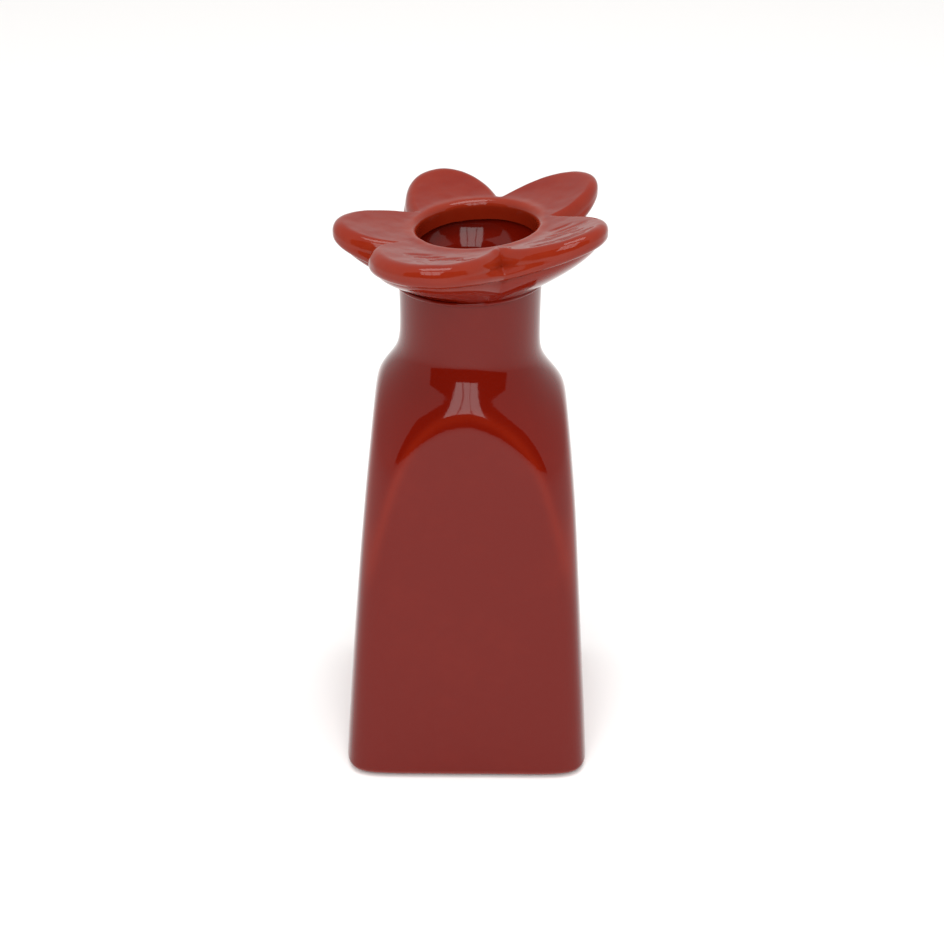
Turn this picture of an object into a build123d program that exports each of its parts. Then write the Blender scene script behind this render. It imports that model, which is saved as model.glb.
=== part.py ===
from build123d import *
import math
import os

# Ceramic bud vase. A tapered square body with an arched shoulder runs into a round neck, and a
# five-petal flower collar sits over the neck's rim. Every clay piece is a solid of its own, as it
# was before the pieces were luted together with slip and fired.
#
# Frame: millimetres, +Z up. The origin is on the table, on the axis of the body and its neck.
# +X is to the right and -Y to the front of the vase.

os.makedirs("parts", exist_ok=True)

# ---------------------------------------------------------------- driving dimensions, mm

# Body: square in plan, measured across its flats at three levels.
mouth_height = 170.0          # middle of the mouth rim above the table
foot_width = 75.8             # across the flats at table level
middle_width = 65.2           # across the flats at middle_level
top_width = 51.0              # across the flats at top_level, above the shoulder
middle_level = 70.0
top_level = 140.0
foot_corner = 9.0             # radius of the upright corners, at the three levels
middle_corner = 7.7
top_corner = 6.0
wall = 4.0                    # body wall
cavity_corner_least = 2.0     # least radius in the cavity's upright corners

# Shoulder and neck: round, on the body's axis.
neck_radius = 20.3            # outside of the neck at its narrowest
neck_wall = 3.0
shoulder_level = 130.4        # where the shoulder cone would meet the narrow neck
shoulder_lean = 37.0          # degrees between the shoulder cone and the axis
shoulder_cove = 32.0          # radius of the hollow between the shoulder and the neck
rim_flare = 1.6               # how much wider the neck is at its rim than at its narrowest
flare_length = 10.0           # height of the flared stretch, up to the collar

# Base slab and standing ring.
base_thickness = 4.8
base_edge = 2.8               # rounding of the base's lower edge
ring_height = 1.2
ring_inset = 5.0              # from the body's outline in to the ring's outer side
ring_width = 4.0

# Flower collar: it leans, and its mouth is a little off the neck's axis.
collar_lean = 4.5             # degrees, right side up
collar_right = 1.7            # mouth centre from the neck's axis
collar_back = 0.4
mouth_overhang = 1.6          # how far the collar stands in over the neck's wall
mouth_edge = 2.0              # rounding of the mouth rim
mouth_lip = 2.4               # flat land from the rounding out to where the petals start to rise
collar_depth = 15.2           # from the mouth's middle down to the collar's lower ring
joint_lean = 2.0              # lean of the lower ring, in degrees
seat_depth = 5.6              # from the mouth's middle down to the seat on the neck's rim
collar_foot = 0.9             # how far the lower ring stands out from the neck
petal_edge = 6.8              # thickness of the petals near their tips
petal_rise = 4.6              # height of the longest petal's tip above the mouth
petal_rounding = 2.4          # rounding along the top and the underside of the petals
cleft_tightness = 0.6         # below 1 the clefts are tighter, above 1 wider
petal_fullness = 1.1          # below 1 the petals are blunter, above 1 more pointed

# Each petal, going round from the front: direction of its tip in degrees from +X and the tip's
# reach from the mouth's middle, then the direction of the cleft that follows it and how far out
# of the collar's lower ring that cleft stays.
petals = [
    (-114.0, 39.4, -73.5, 2.2),    # front
    (-36.0, 41.2, 4.0, 2.2),       # right front
    (34.5, 40.4, 72.0, 1.0),       # right back
    (111.0, 37.4, 147.5, 2.8),     # left back
    (184.0, 40.6, 216.0, 3.2),     # left
]
petal_steps = (-1, -0.7, -0.36, 0, 0.36, 0.7, 1)    # points on a petal, from cleft to tip to cleft

# Slip bead wiped round the joint under the collar.
bead_size = 1.3               # how far it reaches down the neck and out along the collar

# ---------------------------------------------------------------- places worked out from these

base_top = ring_height + base_thickness
joint_level = mouth_height - collar_depth
neck_rim_radius = neck_radius + rim_flare
mouth_radius = neck_rim_radius - neck_wall - mouth_overhang
collar_foot_radius = neck_rim_radius + collar_foot
petal_reach = max(reach for direction, reach, cleft, cleft_margin in petals)
clear = 40.0                  # how far a cutting solid runs past what it cuts


# ---------------------------------------------------------------- body form

def section(width, corner, level):
    """One level of the square form: a square with rounded corners."""
    return Pos(0, 0, level) * RectangleRounded(width, width, corner)


def square_form(inset):
    """The tapered square form, taken in by inset on every side."""
    levels = [
        (foot_width, foot_corner, 0.0),
        (middle_width, middle_corner, middle_level),
        (top_width, top_corner, top_level),
    ]
    return loft([
        section(width - 2 * inset, max(corner - inset, cavity_corner_least), level)
        for width, corner, level in levels
    ])


def round_form(shoulder_inset, neck_inset, top):
    """Shoulder cone, cove and flared neck turned about the axis, taken in by the insets."""
    narrow = neck_radius - neck_inset
    flared = neck_rim_radius - neck_inset
    drop = (shoulder_inset - neck_inset) / math.tan(math.radians(shoulder_lean))
    meet = shoulder_level - drop * (1 - math.sin(math.radians(shoulder_lean)))
    skirt = meet / math.cos(math.radians(shoulder_lean))
    lean = math.radians(shoulder_lean)
    with BuildPart() as turned:
        with BuildSketch(Plane.XZ):
            with BuildLine():
                outline = FilletPolyline(
                    (narrow + skirt * math.sin(lean), meet - skirt * math.cos(lean)),
                    (narrow, meet),
                    (narrow, joint_level - flare_length),
                    radius=shoulder_cove + neck_inset,
                )
                flare = Bezier(
                    outline @ 1,
                    (narrow, joint_level - flare_length / 2),
                    (flared, joint_level - flare_length / 3),
                    (flared, joint_level),
                )
                Polyline(
                    flare @ 1,
                    (flared, top),
                    (0, top),
                    (0, meet - skirt * math.cos(lean)),
                    outline @ 0,
                )
            make_face()
        revolve(axis=Axis.Z)
    return turned.part


def vase_form(inset, neck_inset, top):
    """The outside or, with insets, the cavity of the body: square form cut by the round one."""
    turned = round_form(inset, neck_inset, top)
    shoulder = square_form(inset) & turned
    neck = turned & slab(top_level, top)
    return shoulder + neck


def slab(low, high):
    """A block that spans the whole vase between two levels."""
    side = 2 * foot_width
    return Pos(0, 0, low) * Box(side, side, high - low, align=(Align.CENTER, Align.CENTER, Align.MIN))


# ---------------------------------------------------------------- collar form

# The collar's own frame: its origin is the middle of the mouth, its Z leans with the collar.
collar_place = Location((collar_right, collar_back, mouth_height), (0, -collar_lean, 0))

# The lower ring's frame, where the collar and the bead meet: on the neck's axis, leaning less.
joint_place = Location((0, 0, joint_level), (0, -joint_lean, 0))


def petal_outline():
    """The flower seen from above: one smooth curve for each petal, from cleft to tip to cleft."""
    curves = []
    for number, (tip, reach, cleft, cleft_margin) in enumerate(petals):
        before, before_margin = petals[number - 1][2:]
        before -= 360 * math.ceil((before - tip) / 360)
        points = []
        for step in petal_steps:
            low = collar_foot_radius + (before_margin if step < 0 else cleft_margin)
            span = tip - before if step < 0 else cleft - tip
            swell = math.cos(math.pi / 2 * step) ** petal_fullness
            points.append(Vector(low + (reach - low) * swell, 0).rotate(Axis.Z, tip + span * step))
        ends = [Vector(0, 1).rotate(Axis.Z, direction) for direction in (before, cleft)]
        curves.append(Spline(*points, tangents=ends, tangent_scalars=(cleft_tightness, cleft_tightness)))
    return make_face(curves)


def dish_form():
    """What lies under the collar's dished top, round the bore: turned about the collar's axis."""
    land = mouth_radius + mouth_edge + mouth_lip
    outer = petal_reach + petal_edge
    outer_rise = petal_rise * ((outer - land) / (petal_reach - land)) ** 2
    with BuildPart() as turned:
        with BuildSketch(Plane.XZ):
            with BuildLine():
                top = Line((mouth_radius, 0), (land, 0))
                dish = TangentArc(top @ 1, (outer, outer_rise), tangent=(1, 0))
                Polyline(
                    dish @ 1,
                    (outer, -clear),
                    (mouth_radius, -clear),
                    top @ 0,
                )
            make_face()
            rim = [v for v in vertices() if v.X < land - mouth_edge / 2 and v.Z > -mouth_edge]
            fillet(rim, mouth_edge)
        revolve(axis=Axis.Z)
    return turned.part


def underside_form():
    """What lies above the collar's conical underside, turned about the lower ring's axis."""
    tip_underside = collar_depth + petal_rise - petal_edge
    outer = petal_reach + petal_edge + collar_right
    slope = tip_underside / (petal_reach - collar_foot_radius)
    with BuildPart() as turned:
        with BuildSketch(Plane.XZ):
            with BuildLine():
                Polyline(
                    (0, 0),
                    (collar_foot_radius, 0),
                    (outer, slope * (outer - collar_foot_radius)),
                    (outer, collar_depth + clear),
                    (0, collar_depth + clear),
                    (0, 0),
                )
            make_face()
        revolve(axis=Axis.Z)
    return turned.part


def bead_form():
    """A ring of slip that fills the corner under the collar; the neck is cut from it."""
    inner = neck_radius - neck_wall / 2
    with BuildPart() as turned:
        with BuildSketch(Plane.XZ):
            with BuildLine():
                Polyline(
                    (inner, 0),
                    (neck_rim_radius + bead_size, 0),
                    (neck_rim_radius, -bead_size),
                    (inner, -bead_size),
                    (inner, 0),
                )
            make_face()
        revolve(axis=Axis.Z)
    return turned.part


# ---------------------------------------------------------------- pieces

form = vase_form(0, 0, mouth_height + clear)
cavity = vase_form(wall, neck_wall, mouth_height + clear)
seat_cut = collar_place * Pos(0, 0, -seat_depth) * Box(
    4 * foot_width, 4 * foot_width, 2 * clear + mouth_height, align=(Align.CENTER, Align.CENTER, Align.MIN)
)

body = (form & slab(base_top, mouth_height + clear)) - cavity - seat_cut
base = form & slab(ring_height, base_top)
base = fillet(base.faces().sort_by(Axis.Z)[0].edges(), base_edge)

ring_outer = RectangleRounded(
    foot_width - 2 * ring_inset,
    foot_width - 2 * ring_inset,
    max(foot_corner - ring_inset, cavity_corner_least),
)
ring_inner = RectangleRounded(
    foot_width - 2 * (ring_inset + ring_width),
    foot_width - 2 * (ring_inset + ring_width),
    cavity_corner_least,
)
foot_ring = extrude(ring_outer - ring_inner, ring_height)

flower = collar_place * Pos(0, 0, -clear) * extrude(petal_outline(), 2 * clear)
seam_turn = Rot(0, 0, petals[1][0])    # keeps the turned forms' seams away from the clefts
dish = collar_place * seam_turn * dish_form()
underside = joint_place * seam_turn * underside_form()
flower_collar = flower & dish & underside
petal_edges = flower_collar.edges().filter_by(GeomType.BSPLINE)
flower_collar = fillet(petal_edges, petal_rounding) - (form - seat_cut)

luting_bead = (joint_place * bead_form()) - form

# ---------------------------------------------------------------- one file for each piece

pieces = {
    "body": body,
    "base": base,
    "foot_ring": foot_ring,
    "flower_collar": flower_collar,
    "luting_bead": luting_bead,
}
for name, shape in pieces.items():
    export_step(shape, f"parts/{name}.step")
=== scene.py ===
import math

import bpy
from mathutils import Matrix, Quaternion, Vector


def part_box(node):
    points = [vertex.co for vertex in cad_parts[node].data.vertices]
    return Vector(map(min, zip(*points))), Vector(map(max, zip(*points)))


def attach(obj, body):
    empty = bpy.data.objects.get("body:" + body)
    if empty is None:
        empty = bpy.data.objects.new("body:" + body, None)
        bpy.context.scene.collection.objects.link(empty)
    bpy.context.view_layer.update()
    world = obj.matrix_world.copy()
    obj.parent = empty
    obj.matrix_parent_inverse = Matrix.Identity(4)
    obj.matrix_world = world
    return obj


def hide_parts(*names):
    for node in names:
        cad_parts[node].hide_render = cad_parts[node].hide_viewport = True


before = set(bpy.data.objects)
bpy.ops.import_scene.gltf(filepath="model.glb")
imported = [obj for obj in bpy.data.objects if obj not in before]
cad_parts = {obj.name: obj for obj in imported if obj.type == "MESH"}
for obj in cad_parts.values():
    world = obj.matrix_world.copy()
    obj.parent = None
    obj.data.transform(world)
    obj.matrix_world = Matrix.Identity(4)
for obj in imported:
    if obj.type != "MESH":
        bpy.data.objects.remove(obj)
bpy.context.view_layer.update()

# ---------------------------------------------------------------- foot ring
# A low square ring of bare clay that the vase stands on. It was left proud when the base was
# trimmed, and it is wiped clean of glaze so that the vase doesn't stick to the kiln shelf.


class Figure:
    """A number that a node tree works out. Sums written with it add Math nodes to the tree."""

    def __init__(self, bench, socket):
        self.bench = bench
        self.socket = socket

    def __add__(self, other):
        return self.bench.sum("ADD", self, other)

    def __radd__(self, other):
        return self.bench.sum("ADD", other, self)

    def __sub__(self, other):
        return self.bench.sum("SUBTRACT", self, other)

    def __rsub__(self, other):
        return self.bench.sum("SUBTRACT", other, self)

    def __mul__(self, other):
        return self.bench.sum("MULTIPLY", self, other)

    def __rmul__(self, other):
        return self.bench.sum("MULTIPLY", other, self)

    def __truediv__(self, other):
        return self.bench.sum("DIVIDE", self, other)

    def __rtruediv__(self, other):
        return self.bench.sum("DIVIDE", other, self)

    def __pow__(self, other):
        return self.bench.sum("POWER", self, other)

    def __neg__(self):
        return self.bench.sum("MULTIPLY", self, -1)

    def __abs__(self):
        return self.bench.sum("ABSOLUTE", self)

    def __gt__(self, other):
        return self.bench.sum("GREATER_THAN", self, other)

    def __lt__(self, other):
        return self.bench.sum("LESS_THAN", self, other)


class Bench:
    """A node tree on which a form or a finish is worked out, node by node."""

    def __init__(self, tree):
        self.tree = tree

    def node(self, kind, settings=(), sockets=(), out=0):
        """Adds any node: its type, then its settings, then the values or links of its sockets."""
        made = self.tree.nodes.new(kind)
        for name, value in dict(settings).items():
            if name == "stops":
                self.set_stops(made.color_ramp, value)
            else:
                setattr(made, name, value)
        for name, value in dict(sockets).items():
            if isinstance(value, Figure):
                self.tree.links.new(value.socket, made.inputs[name])
            else:
                made.inputs[name].default_value = value
        return Figure(self, made.outputs[out]) if made.outputs else made

    def set_stops(self, ramp, stops):
        """Gives a colour ramp its stops, each a place and a colour."""
        while len(ramp.elements) < len(stops):
            ramp.elements.new(0.5)
        for element, (place, colour) in zip(ramp.elements, stops):
            element.position = place
            element.color = colour

    def sum(self, operation, *values):
        return self.node("ShaderNodeMath", {"operation": operation}, dict(enumerate(values)))

    def held(self, value, low=0.0, high=1.0):
        """The value, kept between low and high."""
        return self.sum("MINIMUM", self.sum("MAXIMUM", value, low), high)

    def wave(self, place, scale, detail=2.0, seed=0.0):
        """Smooth noise from -1 to 1 at a place."""
        settings = {"noise_dimensions": "4D"}
        sockets = {"Vector": place, "Scale": scale, "Detail": detail, "W": seed}
        return self.node("ShaderNodeTexNoise", settings, sockets) * 2 - 1

    def point(self, x, y, z):
        return self.node("ShaderNodeCombineXYZ", (), {"X": x, "Y": y, "Z": z})

    def scaled(self, vector, scale):
        settings = {"operation": "SCALE"}
        return self.node("ShaderNodeVectorMath", settings, {"Vector": vector, "Scale": scale})


def blend(start, end, share):
    """A number that goes from start to end as share goes from 0 to 1."""
    return start + (end - start) * share


def stretch(bench, place, start, end):
    """How far a place along the outline has got through one stretch of it, from 0 to 1."""
    return bench.held((place - start) / (end - start))


def hump(bench, off):
    """A smooth hump: 1 where off is 0, nearly 0 where off is 2 either way."""
    return bench.sum("EXPONENT", -off * off)


def radians(degrees):
    """Turns degrees, as a number or as a figure of the node tree, into radians."""
    return degrees * (math.pi / 180)


MM = 0.001                 # the forms are worked out in millimetres and laid down in metres
MERGE = 0.002 * MM         # points nearer than this are one point
CRISP = math.radians(52)   # a sharper turn than this between two faces stays a crisp edge


def clay_form(name, around, along, sizes, rule, material):
    """A closed skin laid round the vase's axis by a rule of direction and place along its outline.

    The rule takes the bench, the direction in degrees, the place along the outline from 0 to 1 and
    the named sizes. It gives X, Y and Z in millimetres, and how thin the glaze lies there, 0 to 1;
    on the collar that figure also carries a painted lift of light for the petal tops.
    """
    tree = bpy.data.node_groups.new(name, "GeometryNodeTree")
    bench = Bench(tree)
    tree.interface.new_socket("form", in_out="OUTPUT", socket_type="NodeSocketGeometry")
    sockets = {
        size: tree.interface.new_socket(size, in_out="INPUT", socket_type="NodeSocketFloat")
        for size in sizes
    }
    given = tree.nodes.new("NodeGroupInput")
    named = {size: Figure(bench, given.outputs[size]) for size in sizes}

    grid = {"Size X": 1.0, "Size Y": 1.0, "Vertices X": around + 1, "Vertices Y": along + 1}
    skin = bench.node("GeometryNodeMeshGrid", (), grid)
    flat = bench.node("GeometryNodeInputPosition")
    direction = (bench.node("ShaderNodeSeparateXYZ", (), {"Vector": flat}, "X") + 0.5) * 360
    place = bench.node("ShaderNodeSeparateXYZ", (), {"Vector": flat}, "Y") + 0.5
    x, y, z, thin = rule(bench, direction, place, named)

    kept = bench.node(
        "GeometryNodeStoreNamedAttribute",
        {"data_type": "FLOAT", "domain": "POINT"},
        {"Geometry": skin, "Name": "thin_glaze", "Value": thin},
    )
    moved = {"Geometry": kept, "Position": bench.scaled(bench.point(x, y, z), MM)}
    skin = bench.node("GeometryNodeSetPosition", (), moved)
    skin = bench.node("GeometryNodeMergeByDistance", (), {"Geometry": skin, "Distance": MERGE})
    skin = bench.node("GeometryNodeSetShadeSmooth", (), {"Geometry": skin})
    turn = bench.node("GeometryNodeInputMeshEdgeAngle") > CRISP
    crisp = {"Geometry": skin, "Selection": turn, "Shade Smooth": False}
    skin = bench.node("GeometryNodeSetShadeSmooth", {"domain": "EDGE"}, crisp)
    skin = bench.node("GeometryNodeRealizeInstances", (), {"Geometry": skin})
    skin = bench.node("GeometryNodeSetMaterial", (), {"Geometry": skin, "Material": material})
    bench.node("NodeGroupOutput", (), {"form": skin})

    piece = bpy.data.objects.new(name, bpy.data.meshes.new(name))
    bpy.context.scene.collection.objects.link(piece)
    maker = piece.modifiers.new("form", "NODES")
    maker.node_group = tree
    for size, value in sizes.items():
        maker[sockets[size].identifier] = value
    shaped = piece.evaluated_get(bpy.context.evaluated_depsgraph_get())
    mesh = bpy.data.meshes.new_from_object(shaped)
    piece.modifiers.remove(maker)
    piece.data = mesh
    mesh.name = name
    return piece


def squared(bench, direction, half_width, squareness):
    """Distance from the axis to the side of a square with round corners, in a direction."""
    turn = radians(direction)
    across = abs(bench.sum("COSINE", turn)) ** squareness
    along = abs(bench.sum("SINE", turn)) ** squareness
    return half_width / (across + along) ** (1 / squareness)


def around_axis(bench, direction, radius):
    """X and Y at a distance from the axis in a direction."""
    turn = radians(direction)
    return radius * bench.sum("COSINE", turn), radius * bench.sum("SINE", turn)


def bare_clay():
    """Fired red clay with no glaze: matt, sandy, and paler where the shelf has rubbed it."""
    material = bpy.data.materials.new("bare_clay")
    material.use_nodes = True
    material.node_tree.nodes.clear()
    bench = Bench(material.node_tree)
    place = bench.node("ShaderNodeTexCoord", out="Object")
    cloud = bench.wave(place, scale=120, detail=3.0, seed=2.0)
    grain = bench.wave(place, scale=1600, detail=2.0, seed=5.0)
    stops = [
        (0.25, (0.30, 0.13, 0.07, 1)),
        (0.55, (0.42, 0.20, 0.12, 1)),
        (0.85, (0.52, 0.30, 0.20, 1)),
    ]
    share = bench.held(0.5 + cloud * 0.4 + grain * 0.25)
    colour = bench.node("ShaderNodeValToRGB", {"stops": stops}, {"Fac": share})
    tooth = bench.node("ShaderNodeBump", (), {"Strength": 0.6, "Distance": 0.08 * MM, "Height": grain})
    sockets = {"Base Color": colour, "Roughness": 0.82 + grain * 0.1, "Normal": tooth}
    clay = bench.node("ShaderNodeBsdfPrincipled", (), sockets)
    bench.node("ShaderNodeOutputMaterial", (), {"Surface": clay})
    return material


ring_low, ring_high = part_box("foot_ring")
ring_sizes = {
    # millimetres, and two powers: the higher, or for the section the lower, the squarer
    "outer half width": ring_high.x / MM,
    "width": 4.0,
    "height": ring_high.z / MM,
    "section power": 0.28,
    "squareness": 14.0,
}


def ring_rule(bench, direction, place, size):
    """A rounded square tube: place goes up the outer side, over the top and down the inside."""
    turn = place * (2 * math.pi)
    half_width, half_height = size["width"] / 2, size["height"] / 2
    # A low power of the sine and cosine squares the section and leaves rubbed edges.
    power = size["section power"]
    side = bench.sum("COSINE", turn)
    up = bench.sum("SINE", turn)
    side = bench.sum("SIGN", side) * abs(side) ** power
    up = bench.sum("SIGN", up) * abs(up) ** power
    middle = size["outer half width"] - half_width
    radius = squared(bench, direction, middle + side * half_width, size["squareness"])
    x, y = around_axis(bench, direction, radius)
    return x, y, half_height + up * half_height, 0.0 * up


foot_ring = clay_form("standing_ring", 288, 40, ring_sizes, ring_rule, bare_clay())
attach(foot_ring, "root")
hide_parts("foot_ring")

# ---------------------------------------------------------------- base
# The square slab that the walls stand on. It is cut from rolled clay, luted to the walls with slip,
# and its lower edge is rounded with a damp sponge. It has the same red glaze as the walls.


def red_glaze():
    """Glossy iron-red glaze: deep where it lies thick, more orange where it thins on an edge, and on
    the collar lighter all over as painted light.
    """
    material = bpy.data.materials.new("red_glaze")
    material.use_nodes = True
    material.node_tree.nodes.clear()
    bench = Bench(material.node_tree)
    place = bench.node("ShaderNodeTexCoord", out="Object")
    thin = bench.node("ShaderNodeAttribute", {"attribute_name": "thin_glaze"}, out="Fac")
    drift = bench.wave(place, scale=34, detail=3.0, seed=1.0)
    mottle = bench.wave(place, scale=210, detail=4.0, seed=3.0)
    # Flecks are the peaks of a fine noise, cut off above a level and made steep.
    fleck_level, fleck_steepness = 0.42, 6
    speckle = bench.wave(place, scale=1500, detail=1.0, seed=8.0)
    fleck = bench.held((speckle - fleck_level) * fleck_steepness)

    # Painted light comes in here too: on the collar this figure is lifted all over to stand in for the
    # light on the petal tops.
    thinness_and_painted_light = bench.held(thin + drift * 0.10 + mottle * 0.06)
    stops = [
        (0.0, (0.130, 0.0040, 0.0008, 1)),
        (0.3, (0.180, 0.0090, 0.0020, 1)),
        (0.6, (0.270, 0.0300, 0.0100, 1)),
        (1.0, (0.420, 0.0700, 0.0260, 1)),
    ]
    colour = bench.node("ShaderNodeValToRGB", {"stops": stops}, {"Fac": thinness_and_painted_light})
    iron = (0.08, 0.006, 0.002, 1)
    flecked = {0: fleck * 0.35, 6: colour, 7: iron}
    colour = bench.node("ShaderNodeMix", {"data_type": "RGBA"}, flecked, 2)
    peel = bench.wave(place, scale=520, detail=1.0, seed=6.0)
    settle = bench.wave(place, scale=90, detail=2.0, seed=7.0)
    height = peel * 0.25 + settle
    skin = bench.node("ShaderNodeBump", (), {"Strength": 0.5, "Distance": 0.05 * MM, "Height": height})
    roughness = bench.held(0.075 + mottle * 0.02 + fleck * 0.1, 0.04, 0.4)
    sockets = {"Base Color": colour, "Roughness": roughness, "Normal": skin, "IOR": 1.34}
    glaze = bench.node("ShaderNodeBsdfPrincipled", (), sockets)
    bench.node("ShaderNodeOutputMaterial", (), {"Surface": glaze})
    return material


glaze = red_glaze()
base_low, base_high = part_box("base")
wall_sizes = {
    # millimetres, and a power that squares the plan
    "foot half width": 37.9,
    "shoulder half width": 27.7,
    "shoulder half width level": 120.0,
    "belly": 0.67,
    "right belly": 1.1,
    "right belly level": 93.0,
    "right belly height": 34.0,
    "squareness": 9.6,
    "unevenness": 0.10,
    "unevenness reach": 30.0,
}
base_sizes = wall_sizes | {
    "low": base_low.z / MM / 3,
    "top": base_high.z / MM,
    "edge": 2.6,
    "thin edge": 0.35,
}
base_stretches = {
    "top": (0.0, 0.2),
    "side": (0.2, 0.45),
    "edge": (0.45, 0.75),
    "underside": (0.75, 1.0),
}


def wall_half_width(size, level):
    """Half the width of the walls at a level: they taper upwards and belly out a little."""
    share = level / size["shoulder half width level"]
    taper = blend(size["foot half width"], size["shoulder half width"], share)
    return taper + size["belly"] * 4 * share * (1 - share)


def hand_made(bench, direction, level, size):
    """How far the hand-built walls stray from the true form: uneven, and fuller on the right."""
    x, y = around_axis(bench, direction, size["unevenness reach"])
    spot = bench.point(x, y, level)
    uneven = bench.wave(spot, scale=0.035, detail=1.0, seed=4.0) * size["unevenness"]
    off = (level - size["right belly level"]) / size["right belly height"]
    to_right = 0.5 + 0.5 * bench.sum("COSINE", radians(direction))
    fuller = size["right belly"] * hump(bench, off) * to_right * to_right
    return uneven + fuller


def base_rule(bench, direction, place, size):
    """Place goes from the middle of the top out, down the side, round the edge and back in."""
    top_share = stretch(bench, place, *base_stretches["top"])
    side_share = stretch(bench, place, *base_stretches["side"])
    edge_share = stretch(bench, place, *base_stretches["edge"])
    under_share = stretch(bench, place, *base_stretches["underside"])
    turn = edge_share * (math.pi / 2)
    edge = size["edge"]
    level = blend(size["top"], size["low"] + edge, side_share) - edge * bench.sum("SINE", turn)
    half_width = wall_half_width(size, level) - edge * (1 - bench.sum("COSINE", turn))
    radius = squared(bench, direction, half_width, size["squareness"])
    radius = radius + hand_made(bench, direction, level, size)
    radius = radius * top_share * (1 - under_share)
    x, y = around_axis(bench, direction, radius)
    return x, y, level, bench.sum("SINE", edge_share * math.pi) * size["thin edge"]


base = clay_form("base_slab", 384, 60, base_sizes, base_rule, glaze)
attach(base, "root")
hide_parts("base")

# ---------------------------------------------------------------- body
# The tapered square walls, built up by hand, with a shoulder paddled round into a turned neck. The
# flat sides end in four arches where the shoulder cuts them. Red glaze lies inside and out.

body_low, body_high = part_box("body")
collar_lean = 4.0             # degrees, right side up
neck_rim = 21.9
seat_level = body_high.z / MM - neck_rim * math.tan(math.radians(collar_lean))
body_sizes = wall_sizes | {
    # millimetres, apart from the slopes and the thinness of the glaze
    "low": body_low.z / MM,
    "seat": seat_level,
    "seat slope": math.tan(math.radians(collar_lean)),
    "wall": 4.0,
    "neck wall": 3.0,
    "neck radius": 20.2,
    "shoulder level": 128.9,
    "shoulder spread": 11.5,
    "shoulder drop": 10.0,
    "shoulder slope": 0.2,
    "cove": 2.8,
    "slump": 2.2,
    "slump level": 123.0,
    "slump height": 9.0,
    "arris": 4.2,
    "thin band": 0.9,
    "thin arris": 0.22,
    "flare": 1.6,
    "flare height": 9.0,
    "roll": 3.6,
    "roll drop": 10.0,
    "roll height": 4.5,
}
outside_stretch = (0.0, 0.70)
inside_stretch = (0.71, 0.99)
inside_from, inside_to = 0.705, 0.997    # between these places the outline is in the cavity


def body_radius(bench, direction, level, inside, size):
    """Distance from the axis to the wall: the square sides, cut by the round shoulder and neck."""
    half_width = wall_half_width(size, level) - inside * size["wall"]
    side = squared(bench, direction, half_width, size["squareness"])
    below = size["shoulder level"] - level
    cove = size["cove"]
    depth = cove * bench.sum("LOGARITHM", 1 + bench.sum("EXPONENT", below / cove), math.e)
    spread = 1 - bench.sum("EXPONENT", -depth / size["shoulder drop"])
    dome = size["neck radius"] + size["shoulder spread"] * spread + size["shoulder slope"] * depth
    slump = (level - size["slump level"]) / size["slump height"]
    to_right = bench.held(bench.sum("COSINE", radians(direction)))
    slump = size["slump"] * to_right * hump(bench, slump)
    dome = dome - inside * size["neck wall"] - slump
    flare = size["flare"] * bench.sum("EXPONENT", (level - size["seat"]) / size["flare height"])
    arris = hump(bench, (side - dome) / size["thin band"]) * (1 - inside)
    roll = (level - size["seat"] + size["roll drop"]) / size["roll height"]
    roll = inside * size["roll"] * hump(bench, roll)
    return bench.sum("SMOOTH_MIN", side, dome, size["arris"]) + flare - roll, arris


def body_rule(bench, direction, place, size):
    """Place goes up the outside, over the rim and down the inside."""
    rise = stretch(bench, place, *outside_stretch)
    fall = stretch(bench, place, *inside_stretch)
    inside = (place > inside_from) * (place < inside_to)
    x_share = bench.sum("COSINE", radians(direction))
    top = size["seat"] + size["seat slope"] * x_share * neck_rim
    level = blend(size["low"], top, rise - fall)
    radius, arris = body_radius(bench, direction, level, inside, size)
    radius = radius + hand_made(bench, direction, level, size)
    x, y = around_axis(bench, direction, radius)
    return x, y, level, arris * size["thin arris"]


body = clay_form("walls_and_neck", 384, 230, body_sizes, body_rule, glaze)
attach(body, "root")
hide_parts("body")

# ---------------------------------------------------------------- luting bead
# A thin line of slip squeezed out where the collar was pressed onto the neck, wiped round with a
# finger and glazed over with the rest.

bead_low, bead_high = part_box("luting_bead")
bead_height = 1.3 * MM        # of the bead alone, without its lean
bead_sizes = {
    # millimetres
    "level": (bead_low.z + bead_high.z) / (2 * MM) + 0.1,
    "slope": (bead_high.z - bead_low.z - bead_height) / (bead_high.x - bead_low.x),
    "radius": 21.7,
    "thickness": 0.6,
}


def bead_rule(bench, direction, place, size):
    """A thin round ring that leans with the joint."""
    turn = place * (-2 * math.pi)
    radius = size["radius"] + size["thickness"] * bench.sum("COSINE", turn)
    x, y = around_axis(bench, direction, radius)
    z = size["level"] + size["slope"] * x + size["thickness"] * bench.sum("SINE", turn)
    return x, y, z, 0.0 * z


bead = clay_form("slip_bead", 240, 16, bead_sizes, bead_rule, glaze)
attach(bead, "root")
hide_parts("luting_bead")

# ---------------------------------------------------------------- flower collar
# Five petals pinched from one thick disc of clay round the mouth, each pulled out and up a little
# and rounded by thumb, with pinched clefts between. It is luted over the neck's rim and glazed; the
# glaze is painted lighter than the walls' all over, to stand in for the light on the petal tops.

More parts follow.
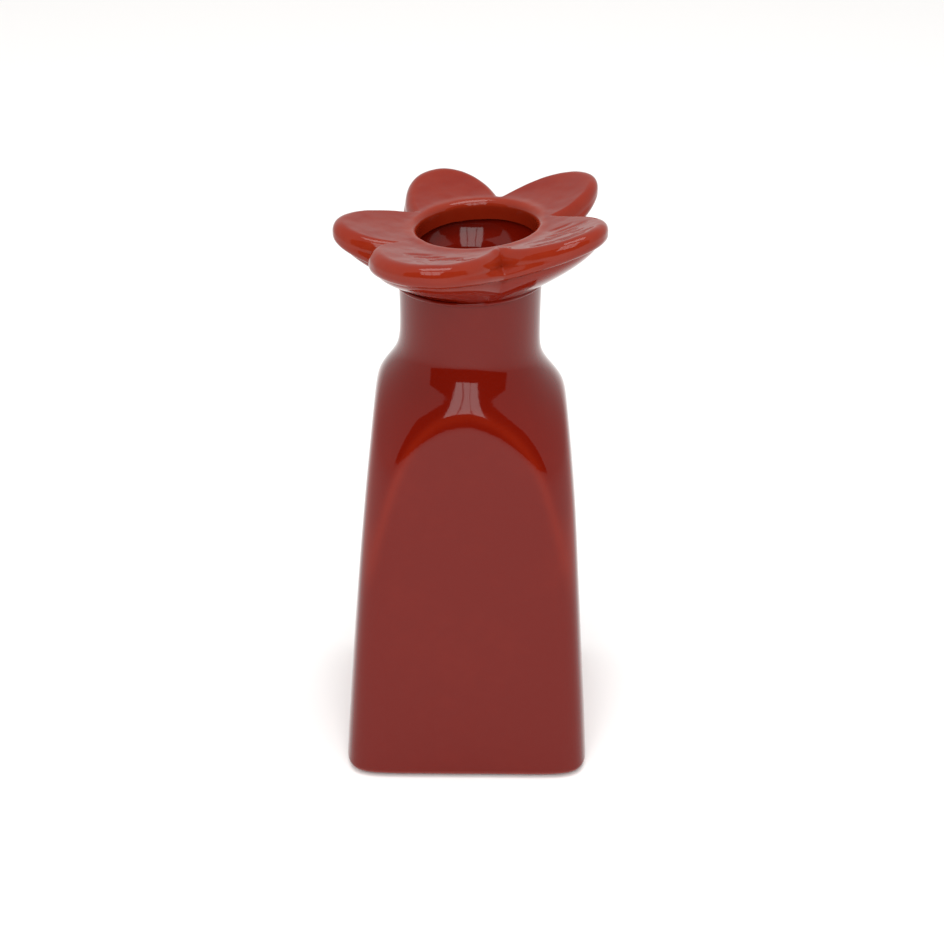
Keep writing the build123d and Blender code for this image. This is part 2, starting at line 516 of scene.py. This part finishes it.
petals = {
    # direction of the tip, reach, rise, bluntness before and after the tip, then direction and
    # depth of the cleft that follows
    "front": (-121.0, 39.6, 2.4, 0.30, 1.15, -73.5, 24.2),
    "right front": (-35.6, 41.2, 6.1, 1.2, 1.2, 5.0, 24.6),
    "right back": (34.9, 40.9, 4.9, 1.2, 1.2, 72.0, 22.5),
    "left back": (111.2, 37.8, 6.4, 1.2, 1.2, 147.4, 23.6),
    "left": (183.5, 40.9, 4.8, 1.2, 1.0, 209.5, 28.5),
}
collar_sizes = {
    # millimetres, apart from the slopes, the powers and the thinness of the glaze, which on the collar
    # also holds painted light
    "middle x": 1.86,
    "middle y": -0.93,
    "mouth level": 170.0,
    "slope": math.tan(math.radians(collar_lean)),
    "mouth radius": 17.1,
    "bore depth": 5.6,
    "mouth edge": 1.8,
    "lift power": 1.38,
    "lift start": 17.8,
    "lift run": 21.2,
    "edge": 6.9,
    "upper rounding": 3.5,
    "lower rounding": 2.6,
    "least top": 0.3,
    "cleft softening": 1.2,
    "cleft wall": 1.7,
    "cleft web": 2.5,
    "belly": 1.2,
    "belly out": 0.8,
    "belly down": 0.6,
    "belly power": 0.6,
    "lip rise": 0.25,
    "lip width": 1.7,
    "unevenness": 0.22,
    "fine unevenness": 0.05,
    "mark depth": 0.28,
    "pinch": 0.9,
    "pinch x": 6.4,
    "pinch y": -21.6,
    "pinch width": 2.0,
    "pinch length": 1.8,
    "ring radius": 22.2,
    "ring level": 14.8,
    "ring slope": 0.0,
    "ring step": 0.3,
    "neck radius": 21.9,
    # painted light: the whole collar's glaze is set lighter and more orange than the walls', partly
    # thinner glaze, partly standing in for light on the petal tops
    "thin all over": 0.32,
    "thin edge": 0.07,
    "thin lip": 0.10,
}
collar_stretches = {
    "bore": (0.0, 0.05),
    "lip": (0.05, 0.13),
    "across": (0.13, 0.50),
    "over": (0.50, 0.62),
    "down": (0.62, 0.67),
    "round under": (0.67, 0.73),
    "back": (0.73, 0.88),
    "foot": (0.88, 0.90),
    "up": (0.90, 0.95),
    "home": (0.95, 1.0),
    "edge band": (0.44, 0.74),
    "lip band": (0.03, 0.19),
}
for number, petal in enumerate(petals.values()):
    tip, reach, rise, blunt_before, blunt_after, cleft, depth = petal
    collar_sizes[f"tip {number}"] = tip
    collar_sizes[f"blunt before {number}"] = blunt_before
    collar_sizes[f"blunt after {number}"] = blunt_after
    collar_sizes[f"reach {number}"] = reach
    collar_sizes[f"rise {number}"] = rise
    collar_sizes[f"cleft {number}"] = cleft
    collar_sizes[f"cleft depth {number}"] = depth


rise_sharpness = 3.5         # how firmly a petal keeps its own rise beside its neighbours
far_out = 1000               # beyond any outline, so that a petal has no say past its clefts


def petal_outline(bench, direction, size):
    """The petals' edge from the mouth's middle, their rise, and how near a cleft, in a direction."""
    count = len(petals)
    outline = 0.0
    weights = 0.0
    rises = 0.0
    fullest = 0.0
    for number in range(count):
        before = (number - 1) % count
        tip = size[f"tip {number}"]
        away = bench.sum("WRAP", direction - tip, 180.0, -180.0)
        after = away > 0
        span_after = bench.sum("WRAP", size[f"cleft {number}"] - tip, 360.0, 0.0)
        span_before = bench.sum("WRAP", tip - size[f"cleft {before}"], 360.0, 0.0)
        share = abs(away) / blend(span_before, span_after, after)
        depth = blend(size[f"cleft depth {before}"], size[f"cleft depth {number}"], after)
        swell = bench.sum("COSINE", bench.held(share) * (math.pi / 2))
        blunt = blend(size[f"blunt before {number}"], size[f"blunt after {number}"], after)
        swell = bench.held(swell) ** blunt
        beyond = bench.held((share - 1) * far_out)
        lobe = depth + (size[f"reach {number}"] - depth) * swell - beyond * far_out
        outline = bench.sum("MAXIMUM", outline, lobe)
        fullest = bench.sum("MAXIMUM", fullest, swell)
        weight = bench.sum("EXPONENT", rise_sharpness * bench.sum("COSINE", radians(away)))
        weights = weights + weight
        rises = rises + weight * size[f"rise {number}"]
    return outline, rises / weights, 1 - fullest


tool_marks = [
    # where a fingertip or rib was dragged over the petals: from x, y to x, y, and how wide
    (-17.8, -24.9, -8.0, -24.4, 0.55),
    (-20.5, -22.6, -11.5, -22.9, 0.8),
    (-13.0, -27.3, -3.0, -26.4, 0.8),
    (19.4, -10.6, 27.0, -8.2, 0.55),
    (20.5, -14.2, 31.0, -10.8, 0.8),
    (18.5, -16.5, 28.0, -14.6, 0.8),
]
mark_run_out = 2.5           # length over which a mark fades at each end


def tool_mark(bench, x, y, mark):
    """How deep a dragged mark is at a place, from 0 beside it to 1 along its middle."""
    start_x, start_y, end_x, end_y, breadth = mark
    length = math.hypot(end_x - start_x, end_y - start_y)
    along_x, along_y = (end_x - start_x) / length, (end_y - start_y) / length
    along = (x - start_x) * along_x + (y - start_y) * along_y
    off = ((y - start_y) * along_x - (x - start_x) * along_y) / breadth
    ends = bench.held(along / mark_run_out) * bench.held((length - along) / mark_run_out)
    return hump(bench, off) * ends


def collar_rule(bench, direction, place, size):
    """Place goes up the bore, over the mouth's edge, out over the petals, round and back under."""
    reach, rise, cleft = petal_outline(bench, direction, size)
    share = {name: stretch(bench, place, *ends) for name, ends in collar_stretches.items()}
    bore, lip, across, over = share["bore"], share["lip"], share["across"], share["over"]
    down, round_under, back = share["down"], share["round under"], share["back"]
    foot, up, home = share["foot"], share["up"], share["home"]

    quarter = math.pi / 2
    mouth_edge, lower = size["mouth edge"], size["lower rounding"]
    top_start = size["mouth radius"] + mouth_edge
    upper = size["upper rounding"] + size["cleft softening"] * cleft
    upper = bench.sum("MINIMUM", upper, reach - top_start - size["least top"])
    edge = size["edge"] + size["cleft wall"] * cleft
    radius = size["mouth radius"] + mouth_edge * (1 - bench.sum("COSINE", lip * quarter))
    radius = radius + (reach - upper - top_start) * across
    lifted_radius = radius + upper * bench.sum("SINE", over * quarter)
    run = bench.held((lifted_radius - size["lift start"]) / size["lift run"], 0.0, 2.0)
    lift = run ** size["lift power"] * rise
    radius = lifted_radius - lower * (1 - bench.sum("COSINE", round_under * quarter))
    height = -size["bore depth"] + (size["bore depth"] - mouth_edge) * bore
    height = height + mouth_edge * bench.sum("SINE", lip * quarter)
    height = height - upper * (1 - bench.sum("COSINE", over * quarter))
    height = height - (edge - upper - lower) * down
    radius = radius + size["cleft web"] * cleft ** 3.0 * down
    height = height - lower * bench.sum("SINE", round_under * quarter) + lift

    lip_roll = (lifted_radius - top_start) / size["lip width"]
    height = height + size["lip rise"] * hump(bench, lip_roll)
    full = bench.sum("SINE", back ** size["belly power"] * math.pi) * size["belly"]
    radius = blend(radius, size["ring radius"], back) + full * size["belly out"]
    height = blend(height, -size["ring level"], back) - full * size["belly down"]
    radius = blend(radius, size["neck radius"], foot)
    height = height - size["ring step"] * foot
    height = blend(height, -size["bore depth"], up)
    radius = blend(radius, size["mouth radius"], home)

    hug = back * (1 - home)
    x, y = around_axis(bench, direction, radius)
    spot = bench.point(x, y, height)
    uneven = size["unevenness"] * bench.wave(spot, scale=0.13, detail=1.0, seed=11.0)
    fine = size["fine unevenness"] * bench.wave(spot, scale=0.38, detail=1.0, seed=12.0)
    uneven = (uneven + fine) * (1 - hug)
    on_top = lip * (1 - over)
    for mark in tool_marks:
        height = height - size["mark depth"] * tool_mark(bench, x, y, mark) * on_top
    off_x = (x - size["pinch x"]) / size["pinch width"]
    off_y = (y - size["pinch y"]) / size["pinch length"]
    pinch = hump(bench, off_x) * hump(bench, off_y)
    x, y = around_axis(bench, direction, radius + uneven * over)
    height = height + uneven + size["pinch"] * pinch * on_top
    slope = blend(size["slope"], size["ring slope"], hug)
    z = size["mouth level"] + height + x * slope
    x = x + size["middle x"] * (1 - hug)
    y = y + size["middle y"] * (1 - hug)
    edge_band = bench.sum("SINE", share["edge band"] * math.pi)
    lip_band = bench.sum("SINE", share["lip band"] * math.pi)
    # The collar's glaze figure holds painted light: a lift all over for the light on the petal tops,
    # with real thinning on the edges and lip.
    thin = size["thin all over"] + edge_band * size["thin edge"] + lip_band * size["thin lip"]
    return x, y, z, thin * (1 - hug)


collar = clay_form("petal_collar", 480, 150, collar_sizes, collar_rule, glaze)
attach(collar, "root")
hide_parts("flower_collar")

# ---------------------------------------------------------------- table, light and camera
# A plain pale table top in an even pale room, with a soft light overhead, a window light in front
# and a plain dark flag behind that. The camera looks down from the front.

table_size = 4.0              # from here on, metres
table_top = bpy.data.meshes.new("table_top")
half = table_size / 2
table_top.from_pydata(
    [(-half, -half, 0), (half, -half, 0), (half, half, 0), (-half, half, 0)], [], [(0, 1, 2, 3)]
)


def plain_finish(name, colour, roughness):
    """A plain matt finish for what stands round the vase."""
    material = bpy.data.materials.new(name)
    material.use_nodes = True
    material.node_tree.nodes.clear()
    bench = Bench(material.node_tree)
    sockets = {"Base Color": colour, "Roughness": roughness}
    matt = bench.node("ShaderNodeBsdfPrincipled", (), sockets)
    bench.node("ShaderNodeOutputMaterial", (), {"Surface": matt})
    return material


table_top.materials.append(plain_finish("white_table", (0.93, 0.925, 0.92, 1), 0.9))
table = bpy.data.objects.new("table", table_top)
bpy.context.scene.collection.objects.link(table)


def card(name, width, height, place, facing, material):
    """A flat studio card that faces a point and only shows in the glaze."""
    mesh = bpy.data.meshes.new(name)
    w, h = width / 2, height / 2
    mesh.from_pydata([(-w, -h, 0), (w, -h, 0), (w, h, 0), (-w, h, 0)], [], [(0, 1, 2, 3)])
    turn = (Vector(facing) - Vector(place)).to_track_quat("Z", "Y").to_matrix().to_4x4()
    mesh.transform(turn)
    mesh.transform(Matrix.Translation(place))
    mesh.materials.append(material)
    made = bpy.data.objects.new(name, mesh)
    bpy.context.scene.collection.objects.link(made)
    made.visible_camera = False
    made.visible_diffuse = False
    made.visible_shadow = False
    return made


world = bpy.data.worlds.new("soft_room")
bpy.context.scene.world = world
world.use_nodes = True
world.node_tree.nodes.clear()
bench = Bench(world.node_tree)
sky = bench.node("ShaderNodeBackground", (), {"Color": (0.88, 0.87, 0.86, 1), "Strength": 1.0})
bench.node("ShaderNodeOutputWorld", (), {"Surface": sky})

# The flag stands in front, behind the camera, so that the glaze has something dark to reflect.
flag_width = 5.0
flag_height = 1.6
flag_away = 1.4
flag_middle = (0, -flag_away, flag_height / 2)
flag_finish = plain_finish("dark_flag", (0.03, 0.03, 0.03, 1), 1.0)
card("dark_flag", flag_width, flag_height, flag_middle, (0, 0, flag_height / 2), flag_finish)


def soft_light(name, power, width, height, place, aim):
    """A rectangular soft light that points at a place."""
    lamp = bpy.data.lights.new(name, "AREA")
    lamp.shape = "RECTANGLE"
    lamp.size, lamp.size_y = width, height
    lamp.energy = power
    made = bpy.data.objects.new(name, lamp)
    made.location = place
    made.rotation_euler = (Vector(aim) - Vector(place)).to_track_quat("-Z", "Y").to_euler()
    bpy.context.scene.collection.objects.link(made)
    return made


middle = Vector((0, 0, 0.125))    # inside the shoulder, where the lights point


def from_middle(elevation, azimuth, distance):
    """A place seen from the shoulder at an elevation, an azimuth from the front and a distance."""
    up, side = math.radians(elevation), math.radians(azimuth)
    way = Vector((math.sin(side) * math.cos(up), -math.cos(side) * math.cos(up), math.sin(up)))
    return middle + way * distance


window_elevation = 38
window_azimuth = -2
window_place = from_middle(window_elevation, window_azimuth, 1.0)
soft_light("window", power=4.6, width=0.62, height=0.56, place=window_place, aim=middle)
overhead_place = from_middle(80, 10, 1.1)
soft_light("overhead", power=5.6, width=0.7, height=0.5, place=overhead_place, aim=middle)

# Two upright bars stand a little in front of the window light.
bar_width = 0.02
bar_height = 0.60
bar_offset = 0.11
bars_place = from_middle(window_elevation, window_azimuth, 0.97)
for across in (-bar_offset, bar_offset):
    bar_finish = plain_finish("window_bar", (0.02, 0.02, 0.02, 1), 1.0)
    bar_place = bars_place + Vector((across, 0, 0))
    card("window_bar", bar_width, bar_height, bar_place, middle, bar_finish)

# The camera looks down on the vase from the front.
look_at = Vector((0.97, 0, 88.5)) * MM
distance = 550 * MM
pitch = 0.520                 # radians below level
roll = 0.008
back = Vector((0, -math.cos(pitch), math.sin(pitch)))
lens = bpy.data.cameras.new("camera")
lens.sensor_width = 36
lens.lens = 68.6
camera = bpy.data.objects.new("camera", lens)
camera.location = look_at + back * distance
camera.rotation_mode = "QUATERNION"
camera.rotation_quaternion = Quaternion(back, roll) @ (-back).to_track_quat("-Z", "Y")
bpy.context.scene.collection.objects.link(camera)
bpy.context.scene.camera = camera
bpy.context.scene.view_settings.view_transform = "Standard"
